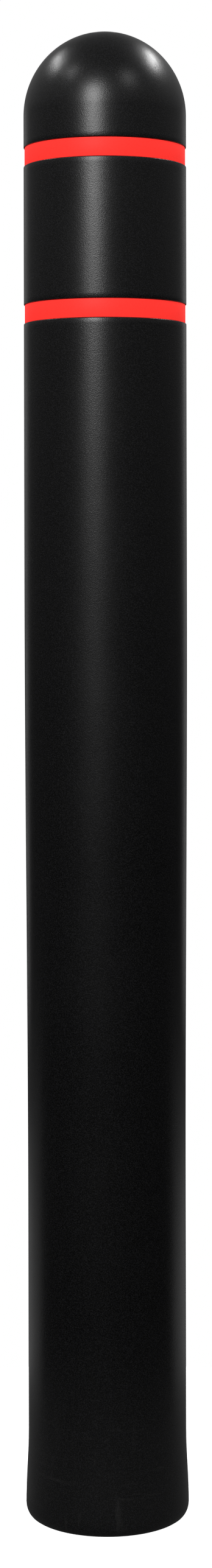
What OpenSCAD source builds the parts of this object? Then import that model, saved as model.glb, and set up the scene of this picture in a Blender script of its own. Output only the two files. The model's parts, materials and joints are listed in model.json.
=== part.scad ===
// Retractable bollard: a post on gas springs that sinks into a casing in the ground.
// Millimetres, +Z up. The origin is on the post's axis at the finished ground. The post is raised.

/* [Cover] */
// Height of the raised post above the ground
post_height = 1056; // [900:1:1300]
// Outer diameter of the moulded cover
cover_d = 116; // [96:1:150]
// Wall thickness of the cover
cover_wall = 6; // [5:0.5:7]
// Height of the dome
dome_h = 60; // [50:1:72]
// How far the cover draws in above its foot
waist_in = 1.8; // [0:0.1:2.5]

/* [Reflective bands] */
// Height of each band
band_h = 13; // [10:1:30]
// Thickness of a band
band_t = 0.5; // [0.3:0.1:0.8]
// Depth of the groove that holds a band
groove_depth = 1.2; // [1:0.1:2]
// Gap above and below a band in its groove
groove_gap = 0.3; // [0.1:0.1:0.6]
// Distance from the top of the dome down to the upper band
upper_band_drop = 83; // [75:1:110]
// Distance between the tops of the two bands
band_pitch = 112; // [40:1:200]

/* [Post tube] */
// Wall thickness of the steel tube
tube_wall = 4; // [3:0.5:5]
// Thickness of the bonding rings between tube and cover
foam_t = 1.2; // [1:0.1:3]
// Height of each bonding ring
foam_h = 40; // [20:5:80]
// Thickness of the plate welded on the tube
head_t = 8; // [5:1:12]
// How far the head plate lies below the foot of the dome
head_drop = 6; // [4:1:12]
// How far the tube reaches below the ground when raised
tube_below = 200; // [180:1:260]

/* [Travel] */
// Distance that the post sinks
travel = 1020; // [850:1:1040]

/* [Casing] */
// Radial room between cover and casing
casing_gap = 6.85; // [6:0.05:12]
// Wall thickness of the casing
casing_wall = 5; // [4:0.5:8]
// Depth of paving above the flange
paving_depth = 30; // [20:5:80]
// Thickness of the flange
flange_t = 12; // [8:1:16]
// Radial room between cover and steel rings
ring_gap = 1.5; // [1:0.1:3]
// Radial room between cover and guide bush
bush_gap = 0.5; // [0.3:0.1:1]
// Thickness of the base plate
base_t = 12; // [8:1:16]

/* [Flange bolts] */
// Diameter of the bolt circle
bolt_circle_d = 190; // [180:1:240]
// Diameter of the bolt holes
bolt_hole_d = 13; // [11:0.5:18]
// Number of bolt holes
bolt_count = 4; // [4:1:8]

/* [Drain] */
// Outer diameter of the drain spigot
drain_d = 50; // [32:1:63]
// Wall thickness of the drain spigot
drain_wall = 5; // [3:0.5:6]
// Length of the drain spigot
drain_len = 40; // [30:1:80]

/* [Lock] */
// Diameter of each lock bolt
bolt_d = 16; // [12:1:18]
// Diameter of the lock shaft
shaft_d = 10; // [8:1:12]
// Module of the pinion and racks
gear_module = 2; // [2:0.1:2.2]
// Angle through which the lock turns
lock_turn = 120; // [110:1:130]
// Diameter of the weather cap
cap_d = 32; // [30:1:34]

/* [Gas springs] */
// Diameter of a gas spring's cylinder
spring_d = 22; // [18:1:22]
// Wall thickness of a gas spring's cylinder
spring_wall = 1.5; // [1:0.1:2]
// Diameter of a gas spring's rod
rod_d = 10; // [8:1:10]
// Distance from the post's axis to each gas spring
spring_offset = 32.5; // [31:0.1:33]

/* [Hidden] */
$fn = 96;
e = 1;

// Radii, from the cover inwards and outwards
cover_r = cover_d / 2;
cover_ir = cover_r - cover_wall;
tube_r = cover_ir - foam_t;
tube_ir = tube_r - tube_wall;
casing_ir = cover_r + casing_gap;
casing_r = casing_ir + casing_wall;
ring_ir = cover_r + ring_gap;
neck_r = ring_ir + 5;
neck_ir = neck_r - 2;
flange_r = bolt_circle_d / 2 + 20;
base_r = casing_r + 14;
fit_gap = 0.06;
slide_gap = 0.35;

// Heights on the post
dome_z = post_height - dome_h;
band_top_z = [post_height - upper_band_drop, post_height - upper_band_drop - band_pitch];
head_z = dome_z - head_drop;
head_top_z = head_z + head_t;
foam_z = [60, (head_z - foam_h) / 2, head_z - 160];
lip_z = 6;
foot_z = 60;
waist_low_z = 0.21 * post_height;
waist_high_z = 0.62 * post_height;

// Lock at the top of the dome
housing_r = cap_d / 2 + 2;
housing_wall = 3;
housing_top_z = post_height - 16;
cap_gap = 0.4;
cap_low_z = post_height - 6.5;
cap_floor_t = 3;
cap_pin_y = 11.5;
cap_pin_z = post_height - 5.5;
cap_pin_r = 1.2;
knuckle_r = 2.4;
knuckle_w = 10;
ear_w = 3.6;
ear_rise = 1.8;
hinge_reach = 4.4;
cap_neck_w = 21;
rim_rise = 3.1;
spindle_r = 7.5;
spindle_top_z = post_height - 10;
key_h = 10;
bush_wall = 3;

// Foot of the post, below the ground
sleeve_h = 96;
flange_top_z = -paving_depth;
flange_low_z = flange_top_z - flange_t;
neck_top_z = -3;
neck_low_z = flange_low_z - 18;
neck_ring_w = 8;
neck_ring_t = 4;
bush_top_z = -20;
wiper_top_z = -6;
stop_top_z = -100;
stop_t = 12;
buffer_t = 6;
collar_top_z = stop_top_z - stop_t - buffer_t;
collar_t = 16;
collar_r = casing_ir - 1.35;
shoe_t = 3;
shoe_h = 12;
shoe_angle = 30;
screw_d = 5;
rail_w = 12;
rail_t = 4.3;

// Bolt carriage
plate_t = 6;
bolt_z = -165;
carriage_top_z = bolt_z + 25;
carriage_low_z = bolt_z - 25;
tube_low_z = -tube_below;
bolt_r = bolt_d / 2;
bolt_gap = 0.5;
guide_wall = 8;
carriage_screw_r = 2;
carriage_screw_len = 14;
pinion_teeth = 10;
pitch_r = gear_module * pinion_teeth / 2;
tooth_pitch = PI * gear_module;
bolt_travel = pitch_r * lock_turn * PI / 180;
bolt_tip = tube_r - 1.3;
web_x = pitch_r + 3;
web_w = 6;
rack_h = 10;
rack_back = pitch_r + 6;
rack_root = pitch_r + 2.2;
rack_len = 26;
addendum = 0.7 * gear_module;
tooth_root = 1.7;
tooth_middle = 1.15;
tooth_tip = 0.6;
root_depth = 2.4;
guide_x = web_x + web_w + bolt_travel + 1;
pinion_h = 11;
shaft_r = shaft_d / 2;
shaft_low_z = carriage_low_z - 6;
shaft_top_z = head_top_z + 24;

// Gas springs
spring_r = spring_d / 2;
rod_r = rod_d / 2;
spring_low_z = carriage_top_z + 8;
spring_top_z = head_z - 28;
eye_r = 8;
eye_w = 10;
eye_hole_r = 4;
fork_gap = 0.3;
fork_t = 4;
upper_eye_z = head_z - 18;
gland_h = 12;
spring_end_t = 5;
piston_h = 12;
piston_z = spring_low_z + 32;

// Bottom of the casing
base_top_z = tube_low_z - travel - 30;
base_low_z = base_top_z - base_t;
lower_eye_z = base_top_z + 18;
keeper_r = bolt_r + 6;
keeper_len = 11;
keeper_room = 6;
upper_keeper_z = bolt_z;
lower_keeper_z = bolt_z - travel;
lug_len = 45;
lug_t = 8;
lug_h = 30;
lug_z = base_top_z + 120;
bottom_buffer_r = 7;

steel = [0.62, 0.64, 0.66];
dark_steel = [0.35, 0.36, 0.38];
black = [0.05, 0.05, 0.055];
red = [1, 0.16, 0.13];
nylon = [0.9, 0.89, 0.84];
rubber = [0.1, 0.1, 0.1];
bronze = [0.72, 0.52, 0.28];

// A blend from 0 to 1 that is level at both ends
function blend(t) = t <= 0 ? 0 : t >= 1 ? 1 : t * t * (3 - 2 * t);

// Outer radius of the cover at a height
function cover_r_at(z) =
    cover_r - waist_in * (blend((z - lip_z) / (foot_z - lip_z))
    - blend((z - waist_low_z) / (waist_high_z - waist_low_z)));

// Points on a quarter of an ellipse, from the side up to the top
function dome_points(r, h) = [for (a = [0 : 5 : 90]) [r * cos(a), dome_z + h * sin(a)]];

module ring(r_out, r_in, z_low, z_high) {
    translate([0, 0, z_low])
        difference() {
            cylinder(r = r_out, h = z_high - z_low);
            translate([0, 0, -e]) cylinder(r = r_in, h = z_high - z_low + 2 * e);
        }
}

module rod_z(r, z_low, z_high, x = 0, y = 0) {
    translate([x, y, z_low]) cylinder(r = r, h = z_high - z_low);
}

// A round bar that starts at x_low and runs along +X
module rod_x(r, x_low, x_high, y, z) {
    translate([x_low, y, z]) rotate([0, 90, 0]) cylinder(r = r, h = x_high - x_low);
}

// A solid with the outside shape of the dome, open below
module dome_solid(r, h) {
    rotate_extrude() polygon(concat([[0, dome_z - 2 * dome_h], [r, dome_z - 2 * dome_h]], dome_points(r, h)));
}

module cover_outside() {
    foot = [for (i = [0 : 6]) lip_z + (foot_z - lip_z) * i / 6];
    waist = [for (i = [0 : 10]) waist_low_z + (waist_high_z - waist_low_z) * i / 10];
    side = [for (z = concat([0], foot, waist)) [cover_r_at(z), z]];
    rotate_extrude() polygon(concat([[0, 0]], side, dome_points(cover_r, dome_h)));
}

module bollard_cover() {
    color(black)
        difference() {
            cover_outside();
            translate([0, 0, -e]) cylinder(r = cover_ir, h = dome_z - dome_h + 2 * e);
            dome_solid(cover_ir, dome_h - cover_wall);
            for (top = band_top_z)
                ring(cover_r + e, cover_r - groove_depth, top - band_h - groove_gap, top + groove_gap);
            rod_z(housing_r + 0.3, housing_top_z - 10, post_height + e);
        }
}

module reflective_band(top) {
    color(red) ring(cover_r - groove_depth + band_t, cover_r - groove_depth, top - band_h, top);
}

module upper_reflective_band() {
    reflective_band(band_top_z[0]);
}

module lower_reflective_band() {
    reflective_band(band_top_z[1]);
}

module post_tube() {
    color(steel)
        difference() {
            ring(tube_r, tube_ir, tube_low_z, head_z);
            for (turn = [0, 180]) rotate(turn) rod_x(bolt_r + bolt_gap, tube_ir - 8, tube_r + e, 0, bolt_z);
            carriage_screw_bars();
        }
}

module guide_sleeve() {
    color(rubber) ring(cover_r, tube_r, -sleeve_h, 0);
}

module cover_foam_rings() {
    color(nylon) for (z = foam_z) ring(cover_ir, tube_r, z, z + foam_h);
}

module head_plate() {
    color(steel) ring(tube_r, shaft_r + bush_wall, head_z, head_top_z);
}

module lock_housing() {
    color(steel) ring(housing_r, housing_r - housing_wall, head_top_z, housing_top_z);
}

module lock_escutcheon() {
    floor_z = housing_top_z + cap_floor_t;
    color(steel)
        difference() {
            union() {
                difference() {
                    intersection() {
                        rod_z(housing_r, housing_top_z, post_height + e);
                        dome_solid(cover_r, dome_h);
                    }
                    rod_z(cap_d / 2 + cap_gap, floor_z, post_height + 2 * e);
                }
                for (side = [-1, 1])
                    translate([side * (knuckle_w / 2 + cap_gap + ear_w / 2), cap_pin_y, floor_z - e])
                        translate([-ear_w / 2, -knuckle_r, 0])
                            cube([ear_w, 2 * knuckle_r, cap_pin_z + ear_rise - floor_z + e]);
            }
            rod_z(spindle_r + slide_gap, housing_top_z - e, floor_z + e);
            cap_pin_bar(cap_pin_r);
            translate([-housing_r, cap_pin_y, cap_pin_z + rim_rise]) cube([2 * housing_r, housing_r, dome_h]);
        }
}

module cap_pin_bar(r) {
    half = knuckle_w / 2 + cap_gap + ear_w;
    rod_x(r, -half, half, cap_pin_y, cap_pin_z);
}

module cap_hinge_pin() {
    color(steel) cap_pin_bar(cap_pin_r);
}

module lock_cap() {
    color(black)
        difference() {
            union() {
                intersection() {
                    rod_z(cap_d / 2, cap_low_z, post_height + e);
                    dome_solid(cover_r, dome_h);
                    union() {
                        translate([-cap_d, -cap_d, cap_low_z]) cube([2 * cap_d, cap_d, dome_h]);
                        translate([-cap_neck_w / 2, -e, cap_low_z])
                            cube([cap_neck_w, cap_pin_y - hinge_reach + e, dome_h]);
                    }
                }
                translate([-knuckle_w / 2, cap_pin_y - hinge_reach - e, cap_low_z])
                    cube([knuckle_w, hinge_reach + e, cap_pin_z + ear_rise - cap_low_z]);
                rod_x(knuckle_r, -knuckle_w / 2, knuckle_w / 2, cap_pin_y, cap_pin_z);
            }
            cap_pin_bar(cap_pin_r + fit_gap);
        }
}

module upper_shaft_bush() {
    color(bronze) ring(shaft_r + bush_wall, shaft_r + fit_gap, head_z - 4, head_top_z + 4);
}

module lower_shaft_bushes() {
    color(bronze)
        for (z = [carriage_low_z, carriage_top_z - plate_t])
            ring(shaft_r + bush_wall, shaft_r + fit_gap, z, z + plate_t + 2);
}

module carriage_plate(z_low, centre_r) {
    color(dark_steel)
        difference() {
            ring(tube_ir, centre_r, z_low, z_low + plate_t);
            for (y = [-spring_offset, spring_offset])
                rod_z(rod_r + 1.5, z_low - e, z_low + plate_t + e, 0, y);
            carriage_screw_bars();
        }
}

// Four screws enter each carriage plate through the tube
module carriage_screw_bars() {
    for (z = [carriage_top_z - plate_t / 2, carriage_low_z + plate_t / 2], turn = [45 : 90 : 315])
        rotate(turn) rod_x(carriage_screw_r, tube_r - carriage_screw_len, tube_r, 0, z);
}

module carriage_screws() {
    color(dark_steel) carriage_screw_bars();
}

module carriage_top_plate() {
    carriage_plate(carriage_top_z - plate_t, shaft_r + bush_wall);
}

module carriage_bottom_plate() {
    carriage_plate(carriage_low_z, shaft_r + bush_wall);
}

module bolt_guides() {
    low = carriage_low_z + plate_t;
    high = carriage_top_z - plate_t;
    color(dark_steel)
        for (turn = [0, 180])
            rotate(turn)
                difference() {
                    intersection() {
                        rod_z(tube_ir, low, high);
                        translate([guide_x, -bolt_r - guide_wall, low])
                            cube([tube_ir, 2 * (bolt_r + guide_wall), high - low]);
                    }
                    rod_x(bolt_r + fit_gap, guide_x - e, tube_r, 0, bolt_z);
                }
}

// Notches at front and rear that clear the guide rails
module rail_notches(z_low, z_high) {
    for (turn = [90, 270])
        rotate(turn)
            translate([casing_ir - rail_t - 0.5, -rail_w / 2 - 0.5, z_low - e])
                cube([rail_w, rail_w + 1, z_high - z_low + 2 * e]);
}

module shoe_sector(r_out, r_in, z_low, z_high) {
    half = shoe_angle / 2;
    side_x = 2 * r_out * cos(half);
    side_y = 2 * r_out * sin(half);
    intersection() {
        ring(r_out, r_in, z_low, z_high);
        translate([0, 0, z_low - e])
            linear_extrude(height = z_high - z_low + 2 * e)
                polygon([[0, 0], [side_x, -side_y], [side_x, side_y]]);
    }
}

module stop_collar() {
    low = collar_top_z - collar_t;
    shoe_low = low + (collar_t - shoe_h) / 2;
    color(steel)
        difference() {
            ring(collar_r, tube_r, low, collar_top_z);
            rail_notches(low, collar_top_z);
            for (turn = [45 : 90 : 315])
                rotate(turn) {
                    shoe_sector(casing_ir + e, casing_ir - slide_gap - shoe_t, shoe_low, shoe_low + shoe_h);
                    shoe_screw_bar();
                }
        }
}

module stop_buffer() {
    color(rubber)
        difference() {
            ring(collar_r, tube_r, collar_top_z, collar_top_z + buffer_t);
            rail_notches(collar_top_z, collar_top_z + buffer_t);
        }
}

module shoe_screw_bar() {
    rod_x(screw_d / 2, tube_r + 4, collar_r, 0, collar_top_z - collar_t / 2);
}

module guide_shoes() {
    low = collar_top_z - collar_t + (collar_t - shoe_h) / 2;
    color(nylon)
        for (turn = [45 : 90 : 315])
            rotate(turn)
                difference() {
                    shoe_sector(casing_ir - slide_gap, casing_ir - slide_gap - shoe_t, low, low + shoe_h);
                    rod_x(screw_d / 2, tube_r, casing_ir + e, 0, collar_top_z - collar_t / 2);
                }
}

module shoe_screws() {
    color(dark_steel) for (turn = [45 : 90 : 315]) rotate(turn) shoe_screw_bar();
}

module spring_eye(y, z) {
    rod_x(eye_r, -eye_w / 2, eye_w / 2, y, z);
}

module spring_cylinder(y) {
    color(dark_steel)
        difference() {
            union() {
                rod_z(spring_r, spring_low_z, spring_top_z, 0, y);
                spring_eye(y, upper_eye_z);
                rod_z(eye_w / 2, spring_top_z - e, upper_eye_z, 0, y);
            }
            rod_z(spring_r - spring_wall, spring_low_z + gland_h, spring_top_z - spring_end_t, 0, y);
            rod_z(rod_r + fit_gap, spring_low_z - e, spring_low_z + gland_h + e, 0, y);
            rod_x(eye_hole_r, -eye_w, eye_w, y, upper_eye_z);
        }
}

module front_spring_cylinder() {
    spring_cylinder(-spring_offset);
}

module rear_spring_cylinder() {
    spring_cylinder(spring_offset);
}

module spring_rod(y) {
    color(steel)
        difference() {
            union() {
                rod_z(rod_r, lower_eye_z, piston_z + piston_h, 0, y);
                rod_z(spring_r - spring_wall - 0.2, piston_z, piston_z + piston_h, 0, y);
                spring_eye(y, lower_eye_z);
            }
            rod_x(eye_hole_r, -eye_w, eye_w, y, lower_eye_z);
        }
}

module front_spring_rod() {
    spring_rod(-spring_offset);
}

module rear_spring_rod() {
    spring_rod(spring_offset);
}

// Two cheeks beside each eye, from the eye to the plate that they are welded to
module spring_brackets(eye_z, z_low, z_high) {
    color(steel)
        for (y = [-spring_offset, spring_offset], side = [-1, 1])
            difference() {
                translate([side * (eye_w / 2 + fork_gap + fork_t / 2) - fork_t / 2, y - eye_r, z_low])
                    cube([fork_t, 2 * eye_r, z_high - z_low]);
                rod_x(eye_hole_r, -3 * eye_w, 3 * eye_w, y, eye_z);
            }
}

module spring_pins(eye_z) {
    half = eye_w / 2 + fork_gap + fork_t + 2;
    color(dark_steel)
        for (y = [-spring_offset, spring_offset]) rod_x(eye_hole_r, -half, half, y, eye_z);
}

module upper_spring_brackets() {
    spring_brackets(upper_eye_z, upper_eye_z - eye_r, head_z);
}

module upper_spring_pins() {
    spring_pins(upper_eye_z);
}

module lower_spring_brackets() {
    spring_brackets(lower_eye_z, base_top_z, lower_eye_z + eye_r);
}

module lower_spring_pins() {
    spring_pins(lower_eye_z);
}

// Head of the lock shaft, with a triangular key stub
module spindle_head() {
    stub_low_z = spindle_top_z - key_h;
    color(steel)
        difference() {
            union() {
                rod_z(spindle_r, head_top_z + 4, stub_low_z);
                translate([0, 0, stub_low_z]) cylinder(r = spindle_r - 0.5, h = key_h, $fn = 3);
            }
            rod_z(shaft_r, head_top_z, shaft_top_z);
        }
}

module lock_shaft() {
    color(steel) rod_z(shaft_r, shaft_low_z, shaft_top_z);
}

module shaft_circlip() {
    color(dark_steel) ring(shaft_r + 3, shaft_r, carriage_low_z - 3, carriage_low_z - 1.5);
}

// One pinion tooth, pointing along +X
module pinion_tooth() {
    polygon([
        [pitch_r - root_depth - e, -tooth_root], [pitch_r, -tooth_middle],
        [pitch_r + addendum, -tooth_tip], [pitch_r + addendum, tooth_tip],
        [pitch_r, tooth_middle], [pitch_r - root_depth - e, tooth_root]
    ]);
}

module lock_pinion() {
    color(bronze)
        translate([0, 0, bolt_z - pinion_h / 2])
            linear_extrude(height = pinion_h)
                difference() {
                    union() {
                        circle(r = pitch_r - root_depth);
                        for (i = [0 : pinion_teeth - 1]) rotate(i * 360 / pinion_teeth) pinion_tooth();
                    }
                    circle(r = shaft_r);
                }
}

// A lock bolt along +X, with the rack that the pinion drives on its front side
module lock_bolt() {
    color(steel)
        union() {
            rod_x(bolt_r, web_x, bolt_tip, 0, bolt_z);
            translate([web_x, -rack_back, bolt_z - rack_h / 2]) cube([web_w, rack_back, rack_h]);
            translate([0, 0, bolt_z - rack_h / 2])
                linear_extrude(height = rack_h) {
                    translate([-rack_len, -rack_back])
                        square([rack_len + web_x + web_w, rack_back - rack_root]);
                    for (i = [-4 : 0])
                        translate([i * tooth_pitch, -pitch_r])
                            polygon([
                                [-tooth_root, -3], [tooth_root, -3], [tooth_middle, 0],
                                [tooth_tip, addendum], [-tooth_tip, addendum], [-tooth_middle, 0]
                            ]);
                }
        }
}

module right_lock_bolt() {
    lock_bolt();
}

module left_lock_bolt() {
    rotate(180) lock_bolt();
}

module keeper_holes() {
    for (z = [upper_keeper_z, lower_keeper_z], turn = [0, 180])
        rotate(turn) rod_x(bolt_r + bolt_gap, casing_ir - 8, casing_r + keeper_room, 0, z);
}

module casing_tube() {
    color(steel)
        difference() {
            ring(casing_r, casing_ir, base_top_z, flange_top_z);
            keeper_holes();
        }
}

// The flange slips over the casing and is welded to it
module ground_flange() {
    color(steel)
        difference() {
            ring(flange_r, casing_r, flange_low_z, flange_top_z);
            for (i = [0 : bolt_count - 1])
                rotate(45 + i * 360 / bolt_count)
                    rod_z(bolt_hole_d / 2, flange_low_z - e, flange_top_z + e, bolt_circle_d / 2, 0);
        }
}

module guide_neck() {
    color(dark_steel) {
        ring(neck_r, neck_ir, neck_low_z, neck_top_z);
        ring(neck_r + neck_ring_w, neck_ir, flange_top_z, flange_top_z + neck_ring_t);
    }
}

module guide_bush() {
    color(nylon) ring(neck_ir, cover_r + bush_gap, neck_low_z, bush_top_z);
}

module wiper_seal() {
    color(rubber) ring(neck_ir, cover_r + slide_gap, bush_top_z, wiper_top_z);
}

module stop_ring() {
    color(steel) ring(casing_ir, ring_ir, stop_top_z - stop_t, stop_top_z);
}

module guide_rails() {
    low = tube_low_z - travel + 20;
    high = stop_top_z - stop_t;
    color(steel)
        for (turn = [90, 270])
            rotate(turn)
                intersection() {
                    rod_z(casing_ir, low, high);
                    translate([casing_ir - rail_t, -rail_w / 2, low - e])
                        cube([rail_w, rail_w, high - low + 2 * e]);
                }
}

// Cups outside the casing that take the tips of the lock bolts
module keepers(z) {
    color(steel)
        for (turn = [0, 180])
            rotate(turn)
                difference() {
                    rod_x(keeper_r, casing_ir, casing_r + keeper_len, 0, z);
                    rod_z(casing_r, z - 2 * keeper_r, z + 2 * keeper_r);
                    rod_x(bolt_r + bolt_gap, casing_ir - 8, casing_r + keeper_room, 0, z);
                }
}

module upper_keepers() {
    keepers(upper_keeper_z);
}

module lower_keepers() {
    keepers(lower_keeper_z);
}

module base_plate() {
    color(steel) ring(base_r, drain_d / 2 - drain_wall, base_low_z, base_top_z);
}

module drain_spigot() {
    color(steel) ring(drain_d / 2, drain_d / 2 - drain_wall, base_low_z - drain_len, base_low_z);
}

module bottom_buffers() {
    color(rubber)
        for (turn = [45 : 90 : 315])
            rotate(turn) rod_z(bottom_buffer_r, base_top_z, tube_low_z - travel, (tube_r + tube_ir) / 2, 0);
}

module anchor_lugs() {
    color(steel)
        for (turn = [45 : 90 : 315])
            rotate(turn)
                difference() {
                    translate([casing_ir, -lug_t / 2, lug_z]) cube([casing_wall + lug_len, lug_t, lug_h]);
                    rod_z(casing_r, lug_z - e, lug_z + lug_h + e);
                }
}

bollard_cover();
upper_reflective_band();
lower_reflective_band();
post_tube();
guide_sleeve();
cover_foam_rings();
head_plate();
lock_housing();
lock_escutcheon();
cap_hinge_pin();
upper_shaft_bush();
lower_shaft_bushes();
carriage_top_plate();
carriage_bottom_plate();
bolt_guides();
carriage_screws();
stop_collar();
stop_buffer();
guide_shoes();
shoe_screws();
front_spring_cylinder();
rear_spring_cylinder();
upper_spring_brackets();
upper_spring_pins();
spindle_head();
lock_shaft();
lock_pinion();
shaft_circlip();
right_lock_bolt();
left_lock_bolt();
lock_cap();
casing_tube();
ground_flange();
guide_neck();
guide_bush();
wiper_seal();
stop_ring();
guide_rails();
upper_keepers();
lower_keepers();
base_plate();
drain_spigot();
bottom_buffers();
lower_spring_brackets();
lower_spring_pins();
front_spring_rod();
rear_spring_rod();
anchor_lugs();
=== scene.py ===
"""Looks of a retractable bollard: a moulded black post with two red bands over a galvanised casing."""

import json
import math

import bpy
from bpy.props import FloatProperty, FloatVectorProperty, IntProperty, PointerProperty
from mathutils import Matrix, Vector


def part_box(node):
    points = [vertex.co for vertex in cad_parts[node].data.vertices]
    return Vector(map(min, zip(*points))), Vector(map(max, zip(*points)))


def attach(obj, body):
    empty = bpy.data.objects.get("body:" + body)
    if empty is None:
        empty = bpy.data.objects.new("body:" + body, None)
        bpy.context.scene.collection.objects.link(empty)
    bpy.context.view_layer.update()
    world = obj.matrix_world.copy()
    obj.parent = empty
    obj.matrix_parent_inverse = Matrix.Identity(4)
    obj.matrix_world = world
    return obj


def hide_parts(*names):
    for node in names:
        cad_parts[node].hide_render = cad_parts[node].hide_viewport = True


bl_info = {
    "name": "Retractable Bollard",
    "version": (1, 0, 0),
    "blender": (4, 5, 0),
    "location": "View3D > Sidebar > Bollard",
    "description": "Builds the finished pieces, materials and studio of a retractable bollard",
    "category": "Object",
}

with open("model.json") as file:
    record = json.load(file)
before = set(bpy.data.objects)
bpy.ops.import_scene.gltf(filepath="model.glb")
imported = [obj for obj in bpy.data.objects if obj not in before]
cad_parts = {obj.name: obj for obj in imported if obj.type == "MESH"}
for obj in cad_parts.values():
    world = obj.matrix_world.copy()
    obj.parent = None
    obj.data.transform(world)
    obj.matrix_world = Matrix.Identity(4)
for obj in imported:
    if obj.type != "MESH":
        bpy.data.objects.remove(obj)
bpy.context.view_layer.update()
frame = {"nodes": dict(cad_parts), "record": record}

MM = 0.001
COVER_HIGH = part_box("bollard_cover")[1]
UPPER_LOW, UPPER_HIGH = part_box("upper_reflective_band")
LOWER_LOW, LOWER_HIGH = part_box("lower_reflective_band")
SEAL_LOW, SEAL_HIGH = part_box("wiper_seal")
FLANGE_LOW, FLANGE_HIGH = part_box("ground_flange")
CASING_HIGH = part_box("casing_tube")[1]
DOME_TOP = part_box("lock_cap")[1][2]
HOUSING_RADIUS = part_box("lock_housing")[1][0]
NECK_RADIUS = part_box("guide_neck")[1][0]
BASE_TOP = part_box("base_plate")[1][2]


# ---------------------------------------------------------------- sizes and colours


class CoverSizes(bpy.types.PropertyGroup):
    """Shape of the moulded cover."""

    radius: FloatProperty(
        name="Radius", description="Outer radius", default=COVER_HIGH[0], unit="LENGTH")
    height: FloatProperty(
        name="Height", description="Height of the dome's top above the ground",
        default=DOME_TOP, unit="LENGTH")
    wall: FloatProperty(
        name="Wall", description="Wall thickness", default=6 * MM, unit="LENGTH")
    dome: FloatProperty(
        name="Dome", description="Height of the dome", default=60 * MM, unit="LENGTH")
    waist: FloatProperty(
        name="Waist", description="How far the side draws in above the foot", default=1.8 * MM, unit="LENGTH")
    groove: FloatProperty(
        name="Groove", description="Depth of the band grooves", default=1.2 * MM, unit="LENGTH")
    edge: FloatProperty(
        name="Edge", description="Rounding of the groove edges", default=0.5 * MM, unit="LENGTH")
    foot_depth: FloatProperty(
        name="Foot depth", description="How far the foot's rounded edge turns in",
        default=5 * MM, unit="LENGTH")
    foot_height: FloatProperty(
        name="Foot height", description="Height of the foot's rounded edge", default=8 * MM, unit="LENGTH")
    segments: IntProperty(
        name="Segments", description="Faces around the post", default=160)


class Finishes(bpy.types.PropertyGroup):
    """Colours of the bollard."""

    plastic: FloatVectorProperty(
        name="Plastic", description="Colour of the moulded cover", default=(0.0052, 0.0052, 0.0056),
        size=3, subtype="COLOR")
    red: FloatVectorProperty(
        name="Red", description="Colour of the reflective bands", default=(1.0, 0.036, 0.028),
        size=3, subtype="COLOR")
    zinc: FloatVectorProperty(
        name="Zinc", description="Colour of the galvanised steel", default=(0.46, 0.48, 0.5),
        size=3, subtype="COLOR")
    steel: FloatVectorProperty(
        name="Steel", description="Colour of the stainless steel", default=(0.58, 0.57, 0.56),
        size=3, subtype="COLOR")


class StudioSizes(bpy.types.PropertyGroup):
    """Floor, camera and lights."""

    distance: FloatProperty(
        name="Distance", description="Camera's distance from the post's axis", default=1.972, unit="LENGTH")
    eye_height: FloatProperty(
        name="Eye height", description="Camera's height above the ground", default=0.675, unit="LENGTH")
    lens: FloatProperty(
        name="Lens", description="Focal length in millimetres", default=63.36)
    shift: FloatProperty(
        name="Shift", description="Vertical shift of the level camera", default=-0.139)
    roll: FloatProperty(
        name="Roll", description="Roll of the camera", default=math.radians(0.122), subtype="ANGLE")
    floor_radius: FloatProperty(
        name="Floor radius", description="Radius of the round floor", default=0.36, unit="LENGTH")


# ---------------------------------------------------------------- modelling helpers


def blend(t):
    """A step from 0 to 1 that is level at both ends."""
    t = min(max(t, 0.0), 1.0)
    return t * t * (3 - 2 * t)


def clear_selection():
    """Leaves edit mode and deselects every object."""
    if bpy.context.object and bpy.context.object.mode != "OBJECT":
        bpy.ops.object.mode_set(mode="OBJECT")
    bpy.ops.object.select_all(action="DESELECT")


def settle(piece, smooth_angle=32):
    """Puts the piece's place into its mesh and shades it smooth up to an angle."""
    bpy.ops.object.mode_set(mode="OBJECT")
    bpy.ops.object.transform_apply(location=True, rotation=True, scale=True)
    bpy.ops.object.shade_smooth_by_angle(angle=math.radians(smooth_angle))
    return piece


def revolve(name, outline, segments=128, smooth_angle=32, ring=True):
    """Turns an outline of (radius, height) points. A ring joins its ends; a solid closes each end flat."""
    clear_selection()
    first_radius, first_height = outline[0]
    bpy.ops.mesh.primitive_circle_add(
        vertices=segments, radius=first_radius, fill_type="NOTHING", location=(0, 0, first_height))
    piece = bpy.context.object
    piece.name = name
    bpy.ops.object.mode_set(mode="EDIT")
    bpy.ops.mesh.select_mode(type="EDGE")
    bpy.ops.mesh.select_all(action="SELECT")
    for (radius, height), (next_radius, next_height) in zip(outline, outline[1:]):
        bpy.ops.mesh.extrude_region_move(TRANSFORM_OT_translate={"value": (0, 0, next_height - height)})
        growth = next_radius / radius
        bpy.ops.transform.resize(value=(growth, growth, 1), center_override=(0, 0, next_height))
    bpy.ops.mesh.select_all(action="DESELECT")
    bpy.ops.mesh.select_non_manifold()
    if ring:
        bpy.ops.mesh.bridge_edge_loops()
    else:
        bpy.ops.mesh.edge_face_add()
    bpy.ops.mesh.select_all(action="SELECT")
    bpy.ops.mesh.normals_make_consistent(inside=False)
    return settle(piece, smooth_angle)


def arc(centre_radius, centre_height, size, start, end, steps=4):
    """Points on an arc of an outline, between two angles in degrees."""
    angles = [math.radians(start + (end - start) * i / steps) for i in range(steps + 1)]
    return [(centre_radius + size * math.cos(a), centre_height + size * math.sin(a)) for a in angles]


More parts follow.
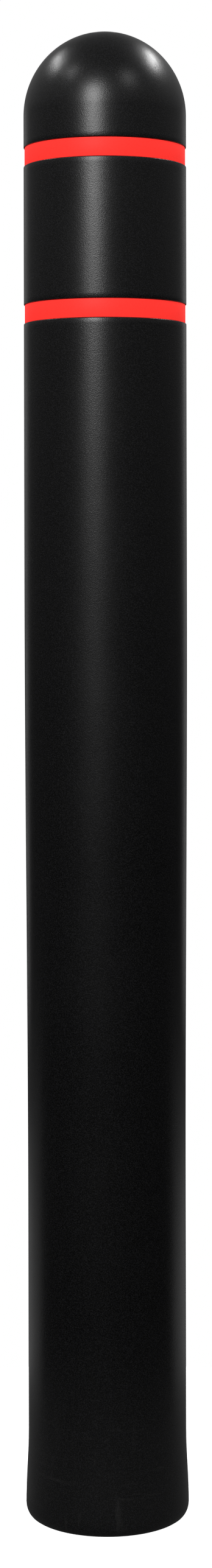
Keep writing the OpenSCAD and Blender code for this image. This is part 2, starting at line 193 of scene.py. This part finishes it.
def soften(name, node, width, angle=35, segments=2):
    """A copy of a frame node, welded into one skin, with its sharp edges rounded."""
    clear_selection()
    piece = bpy.data.objects.new(name, frame["nodes"][node].data.copy())
    bpy.context.scene.collection.objects.link(piece)
    piece.select_set(True)
    bpy.context.view_layer.objects.active = piece
    bpy.ops.object.mode_set(mode="EDIT")
    bpy.ops.mesh.customdata_custom_splitnormals_clear()
    bpy.ops.mesh.select_all(action="SELECT")
    bpy.ops.mesh.remove_doubles(threshold=0.001 * MM)
    bpy.ops.mesh.dissolve_limited(angle_limit=math.radians(0.5))
    bpy.ops.object.mode_set(mode="OBJECT")
    edge = piece.modifiers.new("edge", "BEVEL")
    edge.width, edge.segments, edge.limit_method = width, segments, "ANGLE"
    edge.angle_limit = math.radians(angle)
    bpy.ops.object.modifier_apply(modifier=edge.name)
    bpy.ops.object.shade_smooth_by_angle(angle=math.radians(angle))
    return piece


def ripple(piece, chosen, depth):
    """Draws in the chosen points of a bead, which gives it the ripples of a weld."""
    bpy.ops.object.mode_set(mode="EDIT")
    bpy.ops.mesh.select_mode(type="VERT")
    bpy.ops.mesh.select_all(action="DESELECT")
    bpy.ops.object.mode_set(mode="OBJECT")
    for vertex in piece.data.vertices:
        vertex.select = chosen(vertex.co)
    bpy.ops.object.mode_set(mode="EDIT")
    bpy.ops.transform.shrink_fatten(value=-depth)


# Spacing and depth of a weld's ripples, as shares of the bead's radius
RIPPLE_PITCH = 0.9
RIPPLE_DEPTH = 0.14
WELD_SMOOTH_ANGLE = 60


def weld_ring(name, radius, height, bead):
    """A rippled weld bead round the axis."""
    clear_selection()
    ripples = int(math.tau * radius / (RIPPLE_PITCH * bead))
    turns = 2 * ripples
    bpy.ops.mesh.primitive_torus_add(
        major_segments=turns, minor_segments=8, major_radius=radius, minor_radius=bead,
        location=(0, 0, height))
    piece = bpy.context.object
    piece.name = name

    def in_valley(place):
        """True for every second ring of the bead's points."""
        return round(math.atan2(place.y, place.x) / math.tau * turns) % 2 == 1

    ripple(piece, in_valley, RIPPLE_DEPTH * bead)
    return settle(piece, WELD_SMOOTH_ANGLE)


def weld_line(name, place, low, high, bead):
    """A rippled weld bead that runs straight up from low to high."""
    ripples = int((high - low) / (RIPPLE_PITCH * bead))
    step = (high - low) / ripples
    tip, valley = 0.5 * bead, (1 - RIPPLE_DEPTH) * bead
    crest_start, crest_end = 0.3, 0.7
    outline = [(tip, low)]
    for i in range(ripples):
        outline.append((bead, low + step * (i + crest_start)))
        outline.append((bead, low + step * (i + crest_end)))
        outline.append((valley, low + step * (i + 1)))
    outline[-1] = (tip, high)
    piece = revolve(name, outline, 12, WELD_SMOOTH_ANGLE, ring=False)
    clear_selection()
    piece.select_set(True)
    bpy.context.view_layer.objects.active = piece
    bpy.ops.transform.translate(value=(place[0], place[1], 0))
    return settle(piece, WELD_SMOOTH_ANGLE)


def finish_piece(piece, material, body, slot, *nodes):
    """Gives a piece its material and its body, and hides the frame nodes that it stands for. The slot is not
    used.
    """
    piece.data.materials.clear()
    piece.data.materials.append(material)
    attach(piece, body)
    if nodes:
        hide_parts(*nodes)


# ---------------------------------------------------------------- shader helpers


def add(tree, kind, inputs=None, **settings):
    """Adds a node. Inputs are values or sockets to link."""
    made = tree.nodes.new(kind)
    for name, value in settings.items():
        setattr(made, name, value)
    for name, value in (inputs or {}).items():
        if isinstance(value, bpy.types.NodeSocket):
            tree.links.new(value, made.inputs[name])
        else:
            made.inputs[name].default_value = value
    return made


def new_group(name, inputs, outputs):
    """Makes a shader node group with named sockets. Returns it, its input node and its output node."""
    group = bpy.data.node_groups.new(name, "ShaderNodeTree")
    for socket, kind, default in inputs:
        made = group.interface.new_socket(socket, in_out="INPUT", socket_type=kind)
        made.default_value = default
    for socket, kind in outputs:
        group.interface.new_socket(socket, in_out="OUTPUT", socket_type=kind)
    return group, group.nodes.new("NodeGroupInput"), group.nodes.new("NodeGroupOutput")


def place_group(tree, name, **values):
    """Places a node group in a tree. An underscore in a value's name stands for a space."""
    made = tree.nodes.new("ShaderNodeGroup")
    made.node_tree = bpy.data.node_groups[name]
    for key, value in values.items():
        socket = made.inputs[key.replace("_", " ")]
        if isinstance(value, bpy.types.NodeSocket):
            tree.links.new(value, socket)
        else:
            socket.default_value = value
    return made


def new_material(name, **values):
    """A material with its Principled shader's plain values set. Returns material, tree and shader."""
    material = bpy.data.materials.new(name)
    material.use_nodes = True
    tree = material.node_tree
    shader = tree.nodes["Principled BSDF"]
    for key, value in values.items():
        shader.inputs[key.replace("_", " ")].default_value = value
    return material, tree, shader


def colour(rgb, factor=1.0):
    """A shader colour from three numbers, made darker or brighter by a factor."""
    return (rgb[0] * factor, rgb[1] * factor, rgb[2] * factor, 1.0)


def build_grain_group():
    """Fine pebbled grain of a moulded or cast surface."""
    group, given, out = new_group(
        "Pebble grain",
        [("Pebble Scale", "NodeSocketFloat", 900.0), ("Cloud Scale", "NodeSocketFloat", 12.0)],
        [("Height", "NodeSocketFloat"), ("Cloud", "NodeSocketFloat")])
    place = add(group, "ShaderNodeTexCoord").outputs["Object"]
    pebble = add(group, "ShaderNodeTexVoronoi", {"Vector": place, "Scale": given.outputs["Pebble Scale"]},
                 feature="SMOOTH_F1")
    fine = add(group, "ShaderNodeTexNoise",
               {"Vector": place, "Scale": given.outputs["Pebble Scale"], "Detail": 3.0})
    cloud = add(group, "ShaderNodeTexNoise",
                {"Vector": place, "Scale": given.outputs["Cloud Scale"], "Detail": 4.0, "Roughness": 0.55})
    height = add(group, "ShaderNodeMath", {0: pebble.outputs["Distance"], 1: fine.outputs["Fac"]},
                 operation="ADD")
    group.links.new(height.outputs[0], out.inputs["Height"])
    group.links.new(cloud.outputs["Fac"], out.inputs["Cloud"])


def build_scuff_group():
    """Short scratches and rubbed patches. Reach is the height over which they fade out."""
    group, given, out = new_group(
        "Scuffs",
        [("Low", "NodeSocketFloat", 0.0), ("Reach", "NodeSocketFloat", 0.1),
         ("Amount", "NodeSocketFloat", 0.5)],
        [("Mask", "NodeSocketFloat")])
    place = add(group, "ShaderNodeTexCoord").outputs["Object"]
    long_way = add(group, "ShaderNodeMapping", {"Vector": place, "Scale": (130.0, 130.0, 16.0)})
    streak = add(group, "ShaderNodeTexNoise", {"Vector": long_way.outputs[0], "Scale": 1.0, "Detail": 6.0})
    line = add(group, "ShaderNodeMapRange",
               {"Value": streak.outputs["Fac"], "From Min": 0.6, "From Max": 0.72})
    across = add(group, "ShaderNodeMapping", {"Vector": place, "Scale": (30.0, 30.0, 260.0)})
    rub = add(group, "ShaderNodeTexNoise", {"Vector": across.outputs[0], "Scale": 1.0, "Detail": 5.0})
    rub_line = add(group, "ShaderNodeMapRange",
                   {"Value": rub.outputs["Fac"], "From Min": 0.62, "From Max": 0.74})
    both = add(group, "ShaderNodeMath", {0: line.outputs[0], 1: rub_line.outputs[0]}, operation="MAXIMUM")
    height = add(group, "ShaderNodeSeparateXYZ", {"Vector": place})
    top = add(group, "ShaderNodeMath", {0: given.outputs["Low"], 1: given.outputs["Reach"]}, operation="ADD")
    fade = add(group, "ShaderNodeMapRange",
               {"Value": height.outputs["Z"], "From Min": given.outputs["Low"], "From Max": top.outputs[0],
                "To Min": 1.0, "To Max": 0.0})
    faded = add(group, "ShaderNodeMath", {0: both.outputs[0], 1: fade.outputs[0]}, operation="MULTIPLY")
    mask = add(group, "ShaderNodeMath", {0: faded.outputs[0], 1: given.outputs["Amount"]},
               operation="MULTIPLY")
    group.links.new(mask.outputs[0], out.inputs["Mask"])


def build_metal_group():
    """Uneven tone and roughness of a metal surface, with fine lines around the Z axis."""
    group, given, out = new_group(
        "Metal tone",
        [("Patch Scale", "NodeSocketFloat", 40.0), ("Line Scale", "NodeSocketFloat", 900.0)],
        [("Patch", "NodeSocketFloat"), ("Line", "NodeSocketFloat")])
    place = add(group, "ShaderNodeTexCoord").outputs["Object"]
    patch = add(group, "ShaderNodeTexNoise",
                {"Vector": place, "Scale": given.outputs["Patch Scale"], "Detail": 5.0})
    part = add(group, "ShaderNodeSeparateXYZ", {"Vector": place})
    level = add(group, "ShaderNodeCombineXYZ", {"Z": part.outputs["Z"]})
    line = add(group, "ShaderNodeTexNoise",
               {"Vector": level.outputs[0], "Scale": given.outputs["Line Scale"], "Detail": 2.0})
    group.links.new(patch.outputs["Fac"], out.inputs["Patch"])
    group.links.new(line.outputs["Fac"], out.inputs["Line"])


# Places of a colour Mix node's sockets, which share their names with its sockets for other types
MIX_FACTOR, MIX_FIRST, MIX_SECOND, MIX_RESULT = 0, 6, 7, 2


def mix_colour(tree, mask, first, second):
    """A colour between two others. Each is a colour value or a socket."""
    made = add(tree, "ShaderNodeMix", data_type="RGBA")
    tree.links.new(mask, made.inputs[MIX_FACTOR])
    for socket, value in ((made.inputs[MIX_FIRST], first), (made.inputs[MIX_SECOND], second)):
        if isinstance(value, bpy.types.NodeSocket):
            tree.links.new(value, socket)
        else:
            socket.default_value = value
    return made.outputs[MIX_RESULT]


def ranged(tree, value, low, high, start=0.0, end=1.0):
    """A socket's value mapped from start..end to low..high."""
    made = add(tree, "ShaderNodeMapRange",
               {"Value": value, "From Min": start, "From Max": end, "To Min": low, "To Max": high})
    return made.outputs[0]


def bump(tree, shader, height, distance, strength):
    """Raises a shader's surface by a height socket."""
    made = add(tree, "ShaderNodeBump", {"Height": height, "Distance": distance, "Strength": strength})
    tree.links.new(made.outputs["Normal"], shader.inputs["Normal"])


# ---------------------------------------------------------------- materials


def cover_plastic():
    """Satin black moulded plastic with a pebbled grain, scuffed and dusty at the foot. Its colour is painted
    darker in the grain's hollows and lighter on its tops, as shade and light of the grain.
    """
    material, tree, shader = new_material("moulded_black", Specular_IOR_Level=0.5)
    rgb = bpy.context.scene.bollard_finishes.plastic
    grain = place_group(tree, "Pebble grain", Pebble_Scale=1600.0, Cloud_Scale=9.0)
    scuff = place_group(tree, "Scuffs", Low=0.0, Reach=0.12, Amount=0.12)
    # Painted shade and light of the grain: the colour is darkest in the grain's hollows and lightest on its
    # tops.
    grain_painted_light_and_shade = ranged(tree, grain.outputs["Height"], 0.0, 1.0, 0.75, 1.25)
    tone = mix_colour(tree, grain_painted_light_and_shade, colour(rgb, 0.05), colour(rgb, 2.8))
    scuffed = mix_colour(tree, scuff.outputs["Mask"], tone, (0.075, 0.073, 0.07, 1))
    tree.links.new(scuffed, shader.inputs["Base Color"])
    rough = ranged(tree, grain.outputs["Cloud"], 0.28, 0.35, 0.3, 0.7)
    rougher = add(tree, "ShaderNodeMath", {0: rough, 1: scuff.outputs["Mask"]},
                  operation="ADD", use_clamp=True)
    tree.links.new(rougher.outputs[0], shader.inputs["Roughness"])
    bump(tree, shader, grain.outputs["Height"], 0.00012, 0.34)
    return material


def band_red():
    """Red reflective tape with a painted glow: its emission makes it bright all over, with a faint net of
    prism cells.
    """
    material, tree, shader = new_material("reflective_red", Roughness=0.5, Specular_IOR_Level=0.15)
    rgb = bpy.context.scene.bollard_finishes.red
    place = add(tree, "ShaderNodeTexCoord").outputs["Object"]
    cell = add(tree, "ShaderNodeTexVoronoi", {"Vector": place, "Scale": 420.0}, feature="DISTANCE_TO_EDGE")
    net = ranged(tree, cell.outputs["Distance"], 1.0, 0.0, 0.0, 0.08)
    tree.links.new(mix_colour(tree, net, colour(rgb, 0.5), colour(rgb, 0.42)), shader.inputs["Base Color"])
    # Painted glow: the tape gives off light of its own, in place of the light it would throw back.
    tree.links.new(mix_colour(tree, net, colour(rgb), colour(rgb, 0.93)), shader.inputs["Emission Color"])
    shader.inputs["Emission Strength"].default_value = 0.86
    bump(tree, shader, cell.outputs["Distance"], 0.00003, 0.3)
    return material


def zinc_steel():
    """Hot-dip galvanised steel with its spangle."""
    material, tree, shader = new_material("galvanised_zinc", Metallic=1.0)
    rgb = bpy.context.scene.bollard_finishes.zinc
    place = add(tree, "ShaderNodeTexCoord").outputs["Object"]
    crystal = add(tree, "ShaderNodeTexVoronoi", {"Vector": place, "Scale": 95.0, "Randomness": 1.0})
    tone = place_group(tree, "Metal tone", Patch_Scale=14.0, Line_Scale=500.0)
    level = add(tree, "ShaderNodeSeparateColor", {"Color": crystal.outputs["Color"]}).outputs["Red"]
    spangle = mix_colour(tree, level, colour(rgb, 0.8), colour(rgb, 1.12))
    stained = mix_colour(tree, ranged(tree, tone.outputs["Patch"], 0.0, 0.5, 0.5, 0.75),
                         spangle, colour((0.62, 0.63, 0.62)))
    tree.links.new(stained, shader.inputs["Base Color"])
    tree.links.new(ranged(tree, level, 0.34, 0.52), shader.inputs["Roughness"])
    bump(tree, shader, tone.outputs["Patch"], 0.0006, 0.25)
    return material


def stainless_steel():
    """Turned stainless steel with fine lines around the axis."""
    material, tree, shader = new_material("turned_stainless", Metallic=1.0)
    rgb = bpy.context.scene.bollard_finishes.steel
    tone = place_group(tree, "Metal tone", Patch_Scale=30.0, Line_Scale=2200.0)
    tree.links.new(mix_colour(tree, tone.outputs["Patch"], colour(rgb, 0.85), colour(rgb, 1.1)),
                   shader.inputs["Base Color"])
    tree.links.new(ranged(tree, tone.outputs["Line"], 0.2, 0.36, 0.3, 0.7), shader.inputs["Roughness"])
    bump(tree, shader, tone.outputs["Line"], 0.00004, 0.4)
    return material


def plain_finish(name, rgb, metallic, rough_low, rough_high, pebble, depth):
    """A finish with uneven tone, uneven roughness and a grain of its own."""
    material, tree, shader = new_material(name, Metallic=metallic)
    grain = place_group(tree, "Pebble grain", Pebble_Scale=pebble, Cloud_Scale=35.0)
    tree.links.new(mix_colour(tree, grain.outputs["Cloud"], colour(rgb, 0.78), colour(rgb, 1.2)),
                   shader.inputs["Base Color"])
    tree.links.new(ranged(tree, grain.outputs["Cloud"], rough_low, rough_high, 0.3, 0.7),
                   shader.inputs["Roughness"])
    bump(tree, shader, grain.outputs["Height"], depth, 0.5)
    return material


# Slot: material's name, colour, metallic, lowest and highest roughness, scale of the grain, its depth
PLAIN_FINISHES = {
    "dark_steel": ("black_oxide", (0.05, 0.05, 0.054), 0.8, 0.32, 0.5, 900.0, 0.00008),
    "sleeve_nylon": ("black_nylon", (0.02, 0.02, 0.021), 0.0, 0.4, 0.55, 700.0, 0.00008),
    "pale_nylon": ("pale_nylon", (0.72, 0.7, 0.62), 0.0, 0.4, 0.55, 700.0, 0.00008),
    "foam_grey": ("foam_tape", (0.36, 0.36, 0.37), 0.0, 0.8, 0.95, 500.0, 0.0003),
    "rubber_black": ("moulded_rubber", (0.022, 0.022, 0.022), 0.0, 0.6, 0.8, 600.0, 0.00015),
    "bronze": ("bearing_bronze", (0.52, 0.34, 0.15), 1.0, 0.25, 0.42, 900.0, 0.00005),
    "drain_plastic": ("drain_pipe_plastic", (0.32, 0.13, 0.06), 0.0, 0.35, 0.5, 500.0, 0.00008),
}


def slot_materials():
    """Every slot of the record with its material."""
    made = {slot: plain_finish(*values) for slot, values in PLAIN_FINISHES.items()}
    made["cover_black"] = cover_plastic()
    made["band_red"] = band_red()
    made["galvanised_steel"] = zinc_steel()
    made["stainless_steel"] = stainless_steel()
    return made


def material_of(slot):
    """The finished material of a slot, by the slot's name kept on the material."""
    return next(m for m in bpy.data.materials if m.get("slot") == slot)


# ---------------------------------------------------------------- pieces


def waist_span(sizes):
    """Heights between which the drawn-in side widens back to full width."""
    return 0.21 * sizes.height, 0.62 * sizes.height


def side_radius(sizes, height):
    """Outer radius of the cover's side at a height. It draws in towards a waist above the foot."""
    lip, foot = sizes.foot_height, 60 * MM
    waist_low, waist_high = waist_span(sizes)
    drawn_in = blend((height - lip) / (foot - lip)) - blend((height - waist_low) / (waist_high - waist_low))
    return sizes.radius - sizes.waist * drawn_in


def groove_outline(sizes, low, high):
    """Outline of one band groove, upwards, with rounded edges."""
    outer, floor, edge = sizes.radius, sizes.radius - sizes.groove, sizes.edge
    points = arc(outer - edge, low - edge, edge, 0, 90, 3)
    points += [(floor + edge / 2, low), (floor, low + edge / 2)]
    points += [(floor, high - edge / 2), (floor + edge / 2, high)]
    points += arc(outer - edge, high + edge, edge, -90, 0, 3)
    return points


def cover_outline(sizes):
    """Closed outline of the cover: up the outside, over the dome and down the inside."""
    outer, inner = sizes.radius, sizes.radius - sizes.wall
    dome_foot = sizes.height - sizes.dome
    gap = 0.3 * MM
    hole = HOUSING_RADIUS + gap
    foot_steps, waist_steps, dome_steps = 6, 16, 40
    beside_groove = 4 * MM
    outline = [(inner, 0.0)]
    for i in range(foot_steps + 1):
        a = math.radians(90 * i / foot_steps)
        outline.append((outer - sizes.foot_depth * (1 - math.sin(a)), sizes.foot_height * (1 - math.cos(a))))
    heights = [height * MM for height in (13, 20, 28, 36, 44, 52, 60, 120)]
    waist_low, waist_high = waist_span(sizes)
    heights += [waist_low + (waist_high - waist_low) * i / waist_steps for i in range(waist_steps + 1)]
    outline += [(side_radius(sizes, height), height) for height in heights]
    for low, high in ((LOWER_LOW[2], LOWER_HIGH[2]), (UPPER_LOW[2], UPPER_HIGH[2])):
        outline.append((outer, low - beside_groove))
        outline += groove_outline(sizes, low - gap, high + gap)
        outline.append((outer, high + beside_groove))
    hole_angle = math.acos(hole / outer)
    for i in range(dome_steps + 1):
        a = hole_angle * i / dome_steps
        outline.append((outer * math.cos(a), dome_foot + sizes.dome * math.sin(a)))
    inner_angle = math.acos(hole / inner)
    for i in range(dome_steps, -1, -1):
        a = inner_angle * i / dome_steps
        outline.append((inner * math.cos(a), dome_foot + (sizes.dome - sizes.wall) * math.sin(a)))
    return outline


class BOLLARD_OT_cover(bpy.types.Operator):
    """Makes the moulded cover with its dome and band grooves"""

    bl_idname = "bollard.cover"
    bl_label = "Moulded cover"

    def execute(self, context):
        sizes = context.scene.bollard_cover
        piece = revolve("moulded_cover", cover_outline(sizes), sizes.segments, 40)
        finish_piece(piece, material_of("cover_black"), "post", "cover_black", "bollard_cover")
        return {"FINISHED"}


class BOLLARD_OT_bands(bpy.types.Operator):
    """Makes the two reflective bands"""

    bl_idname = "bollard.bands"
    bl_label = "Reflective bands"

    def execute(self, context):
        sizes = context.scene.bollard_cover
        floor = sizes.radius - sizes.groove
        face = UPPER_HIGH[0]
        round_edge = 0.15 * MM
        for name, node, low, high in (
                ("upper_band", "upper_reflective_band", UPPER_LOW[2], UPPER_HIGH[2]),
                ("lower_band", "lower_reflective_band", LOWER_LOW[2], LOWER_HIGH[2])):
            outline = [(floor, low)] + arc(face - round_edge, low + round_edge, round_edge, -90, 0, 2)
            outline += arc(face - round_edge, high - round_edge, round_edge, 0, 90, 2) + [(floor, high)]
            piece = revolve(name, outline, sizes.segments)
            finish_piece(piece, material_of("band_red"), "post", "band_red", node)
        return {"FINISHED"}


class BOLLARD_OT_lock_top(bpy.types.Operator):
    """Makes the weather cap and the ring that it lies in"""

    bl_idname = "bollard.lock_top"
    bl_label = "Weather cap and ring"

    def execute(self, context):
        cap = soften("weather_cap", "lock_cap", 0.35 * MM, segments=3)
        finish_piece(cap, material_of("cover_black"), "lock_cap", "cover_black", "lock_cap")
        ring = soften("lock_ring", "lock_escutcheon", 0.3 * MM)
        finish_piece(ring, material_of("stainless_steel"), "post", "stainless_steel", "lock_escutcheon")
        return {"FINISHED"}


class BOLLARD_OT_seal(bpy.types.Operator):
    """Makes the wiper seal with its two lips"""

    bl_idname = "bollard.seal"
    bl_label = "Wiper seal"

    def execute(self, context):
        outer = SEAL_HIGH[0]
        low, high = SEAL_LOW[2], SEAL_HIGH[2]
        clearance, lip_length, lip_face, chamfer = 0.35 * MM, 1.6 * MM, MM, MM
        lip = context.scene.bollard_cover.radius + clearance
        root = lip + lip_length
        upper_tip, lower_tip = high - 0.6 * MM, low + 1.4 * MM
        outline = [(outer, low), (outer, high - chamfer), (outer - chamfer, high), (lip + 0.9 * MM, high)]
        outline += [(lip, upper_tip), (lip, upper_tip - lip_face), (root, high - 5 * MM)]
        outline += [(root, low + 6 * MM), (lip, lower_tip + lip_face), (lip, lower_tip), (root, low)]
        piece = revolve("wiper_lips", outline, 128, 40)
        finish_piece(piece, material_of("rubber_black"), "casing", "rubber_black", "wiper_seal")
        return {"FINISHED"}


class BOLLARD_OT_casing(bpy.types.Operator):
    """Rounds the edges of the casing's plates and adds the welds that join them"""

    bl_idname = "bollard.casing"
    bl_label = "Casing plates and welds"

    def execute(self, context):
        steel = material_of("galvanised_steel")
        for name, node, width in (
                ("flange", "ground_flange", 1.5),
                ("floor_plate", "base_plate", 1.2),
                ("lugs", "anchor_lugs", 1),
                ("upper_cups", "upper_keepers", 1),
                ("lower_cups", "lower_keepers", 1)):
            finish_piece(soften(name, node, width * MM), steel, "casing", "galvanised_steel", node)
        spigot = soften("drain_pipe_end", "drain_spigot", 0.8 * MM)
        finish_piece(spigot, material_of("drain_plastic"), "casing", "drain_plastic", "drain_spigot")
        radius = CASING_HIGH[0]
        for name, height in (("flange_weld", FLANGE_LOW[2]), ("floor_weld", BASE_TOP)):
            finish_piece(weld_ring(name, radius, height, 3 * MM), steel, "casing", "galvanised_steel")
        self.weld_lugs(steel, radius)
        return {"FINISHED"}

    def weld_lugs(self, steel, radius):
        """Two upright beads at each anchor lug."""
        low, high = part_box("anchor_lugs")
        lugs, half_lug, bead_radius = 4, 4 * MM, 2.5 * MM
        first_lug_turn, turn_to_next = 45, 90
        first = weld_line("lug_weld_1", (radius, half_lug), low[2], high[2], bead_radius)
        beads = [first]
        for number in range(2, 2 * lugs + 1):
            bead = first.copy()
            bead.data = first.data.copy()
            bead.name = f"lug_weld_{number}"
            bpy.context.scene.collection.objects.link(bead)
            beads.append(bead)
        for number, bead in enumerate(beads):
            clear_selection()
            bead.select_set(True)
            bpy.context.view_layer.objects.active = bead
            if number % 2:
                bpy.ops.transform.translate(value=(0, -2 * half_lug, 0))
            turn = math.radians(first_lug_turn + turn_to_next * (number // 2))
            bpy.ops.transform.rotate(value=-turn, orient_axis="Z", center_override=(0, 0, 0))
            settle(bead, WELD_SMOOTH_ANGLE)
            finish_piece(bead, steel, "casing", "galvanised_steel")


class BOLLARD_OT_finishes(bpy.types.Operator):
    """Gives every piece of the frame the material of its slot"""

    bl_idname = "bollard.finishes"
    bl_label = "Finishes"

    def execute(self, context):
        build_grain_group()
        build_scuff_group()
        build_metal_group()
        for slot, material in slot_materials().items():
            material["slot"] = slot
        slots = {part["node"]: part["material_slot"] for part in frame["record"]["subparts"]}
        for name, node in frame["nodes"].items():
            material = material_of(slots[name])
            if not node.material_slots:
                node.data.materials.append(material)
            for held in node.material_slots:
                held.material = material
        return {"FINISHED"}


# ---------------------------------------------------------------- studio


def area_light(name, place, target, width, height, power):
    """A soft rectangular lamp that the camera doesn't see."""
    data = bpy.data.lights.new(name, "AREA")
    data.shape = "RECTANGLE"
    data.size, data.size_y, data.energy = width, height, power
    lamp = bpy.data.objects.new(name, data)
    bpy.context.scene.collection.objects.link(lamp)
    lamp.location = place
    lamp.rotation_euler = (Vector(target) - Vector(place)).to_track_quat("-Z", "Y").to_euler()
    lamp.visible_camera = False


def floor_material():
    """White floor to the eye, dim in reflections so that the post stays dark."""
    material, tree, shader = new_material("studio_floor", Roughness=0.8, Specular_IOR_Level=0.0)
    path = add(tree, "ShaderNodeLightPath")
    tree.links.new(mix_colour(tree, path.outputs["Is Camera Ray"], (0.1, 0.1, 0.1, 1), (0.85, 0.85, 0.85, 1)),
                   shader.inputs["Base Color"])
    tree.links.new(mix_colour(tree, path.outputs["Is Camera Ray"], (0.04, 0.04, 0.04, 1), (1, 1, 1, 1)),
                   shader.inputs["Emission Color"])
    shader.inputs["Emission Strength"].default_value = 1.0
    return material


def studio_world():
    """Pure white behind the post. What it lights and mirrors in it is dim, and brighter overhead."""
    world = bpy.data.worlds.new("studio")
    bpy.context.scene.world = world
    world.use_nodes = True
    tree = world.node_tree
    tree.nodes.clear()
    way = add(tree, "ShaderNodeTexCoord").outputs["Generated"]
    rise = add(tree, "ShaderNodeSeparateXYZ", {"Vector": way}).outputs["Z"]
    glow = ranged(tree, rise, 0.02, 0.24, -0.05, 0.3)
    thin = ranged(tree, rise, 1.0, 0.5, 0.4, 0.8)
    strength = add(tree, "ShaderNodeMath", {0: glow, 1: thin}, operation="MULTIPLY").outputs[0]
    dim = add(tree, "ShaderNodeBackground", {"Color": (1, 1, 1, 1), "Strength": strength})
    white = add(tree, "ShaderNodeBackground", {"Color": (1, 1, 1, 1), "Strength": 1.0})
    path = add(tree, "ShaderNodeLightPath")
    both = add(tree, "ShaderNodeMixShader", {0: path.outputs["Is Camera Ray"]})
    tree.links.new(dim.outputs[0], both.inputs[1])
    tree.links.new(white.outputs[0], both.inputs[2])
    out = add(tree, "ShaderNodeOutputWorld")
    tree.links.new(both.outputs[0], out.inputs["Surface"])


class BOLLARD_OT_studio(bpy.types.Operator):
    """Makes the floor, the camera and the lamps"""

    bl_idname = "bollard.studio"
    bl_label = "Studio"

    def execute(self, context):
        sizes = context.scene.bollard_studio
        neck_room, mouth_room, lip_thick = 9 * MM, 0.4 * MM, 2 * MM
        opening = NECK_RADIUS + neck_room
        paving = FLANGE_HIGH[2]
        # The mouth is narrower than the post, so that no dark gap shows round the rounded foot
        cover = context.scene.bollard_cover
        mouth = cover.radius - cover.foot_depth + mouth_room
        # The floor lies a little above the ground, where it shares no plane with the guide sleeve's top
        rise = 0.3 * MM
        outline = [(mouth, rise), (sizes.floor_radius, rise), (sizes.floor_radius, paving)]
        outline += [(opening, paving), (opening, -lip_thick), (mouth, -lip_thick)]
        floor = revolve("floor", outline, 128)
        floor.data.materials.append(floor_material())
        studio_world()

        camera_data = bpy.data.cameras.new("camera")
        camera_data.lens = sizes.lens
        camera_data.shift_y = sizes.shift
        camera = bpy.data.objects.new("camera", camera_data)
        context.scene.collection.objects.link(camera)
        aside = 0.25 * MM
        camera.location = (aside, -sizes.distance, sizes.eye_height)
        camera.rotation_euler = (math.pi / 2, sizes.roll, 0)
        context.scene.camera = camera

        self.light_post()
        self.light_casing(sizes.floor_radius)
        context.scene.view_settings.view_transform = "Standard"
        return {"FINISHED"}

    def light_post(self):
        """Lamps round the dome and strips behind the post, which draw its bright edges."""
        crown, middle, foot = (0, 0, 1.02), (0, 0, 0.5), (0, 0, 0.1)
        # Angles are in degrees, sizes and distances in metres, powers in watts
        for name, azimuth, elevation, distance, width, height, power in (
                ("key_strip", 253.8, 19.2, 2.35, 0.72, 1.12, 31.5),
                ("dome_right", 36, 44.5, 2.9, 1.3, 0.22, 28),
                ("dome_left", 151, 45.5, 2.9, 1.3, 0.2, 14),
                ("overhead_left", 205, 47.5, 2.6, 0.4, 0.4, 3.8),
                ("overhead_right", 311, 42, 2.75, 0.6, 0.6, 4)):
            turn, tilt = math.radians(azimuth), math.radians(elevation)
            level = distance * math.cos(tilt)
            place = (level * math.cos(turn), level * math.sin(turn), crown[2] + distance * math.sin(tilt))
            area_light(name, place, crown, width, height, power)
        for name, place, target, width, height, power in (
                ("rim_left", (-1, 1.9, 0.7), middle, 0.5, 1.4, 0.72),
                ("low_rim_left", (-1.45, 1.5, -0.5), foot, 1.9, 0.6, 0.95),
                ("rim_right", (1, 1.9, 0.7), middle, 0.5, 1.4, 0.9),
                ("low_rim_right", (1.45, 1.5, -0.5), foot, 1.9, 0.6, 0.95)):
            area_light(name, place, target, width, height, power)

    def light_casing(self, floor_radius):
        """Upright strips under the floor, which shades the post from them."""
        reach, strip_width = 0.92 * floor_radius, 0.12
        low, high = BASE_TOP, FLANGE_LOW[2]
        middle = (low + high) / 2
        for azimuth, power in ((235, 3.0), (330, 1.6), (90, 2.4)):
            turn = math.radians(azimuth)
            place = (reach * math.cos(turn), reach * math.sin(turn), middle)
            area_light(f"casing_strip_{azimuth}", place, (0, 0, middle), strip_width, high - low, power)


class BOLLARD_PT_panel(bpy.types.Panel):
    """Lists the steps that build the bollard"""

    bl_idname = "BOLLARD_PT_panel"
    bl_label = "Bollard"
    bl_space_type = "VIEW_3D"
    bl_region_type = "UI"
    bl_category = "Bollard"

    def draw(self, context):
        for step in OPERATORS:
            self.layout.operator(step.bl_idname)
        scene = context.scene
        for group in (scene.bollard_cover, scene.bollard_finishes, scene.bollard_studio):
            for name in group.__annotations__:
                self.layout.prop(group, name)


OPERATORS = (
    BOLLARD_OT_finishes, BOLLARD_OT_cover, BOLLARD_OT_bands, BOLLARD_OT_lock_top,
    BOLLARD_OT_seal, BOLLARD_OT_casing, BOLLARD_OT_studio)
CLASSES = (CoverSizes, Finishes, StudioSizes) + OPERATORS + (BOLLARD_PT_panel,)


def register():
    """Registers the classes and gives the scene its three groups of sizes."""
    for made in CLASSES:
        bpy.utils.register_class(made)
    bpy.types.Scene.bollard_cover = PointerProperty(type=CoverSizes)
    bpy.types.Scene.bollard_finishes = PointerProperty(type=Finishes)
    bpy.types.Scene.bollard_studio = PointerProperty(type=StudioSizes)


def unregister():
    """Takes away what register added."""
    del bpy.types.Scene.bollard_studio
    del bpy.types.Scene.bollard_finishes
    del bpy.types.Scene.bollard_cover
    for made in reversed(CLASSES):
        bpy.utils.unregister_class(made)


def main():
    """Builds everything in order."""
    register()
    bpy.ops.bollard.finishes()
    bpy.ops.bollard.cover()
    bpy.ops.bollard.bands()
    bpy.ops.bollard.lock_top()
    bpy.ops.bollard.seal()
    bpy.ops.bollard.casing()
    bpy.ops.bollard.studio()


if __name__ == "__main__":
    main()
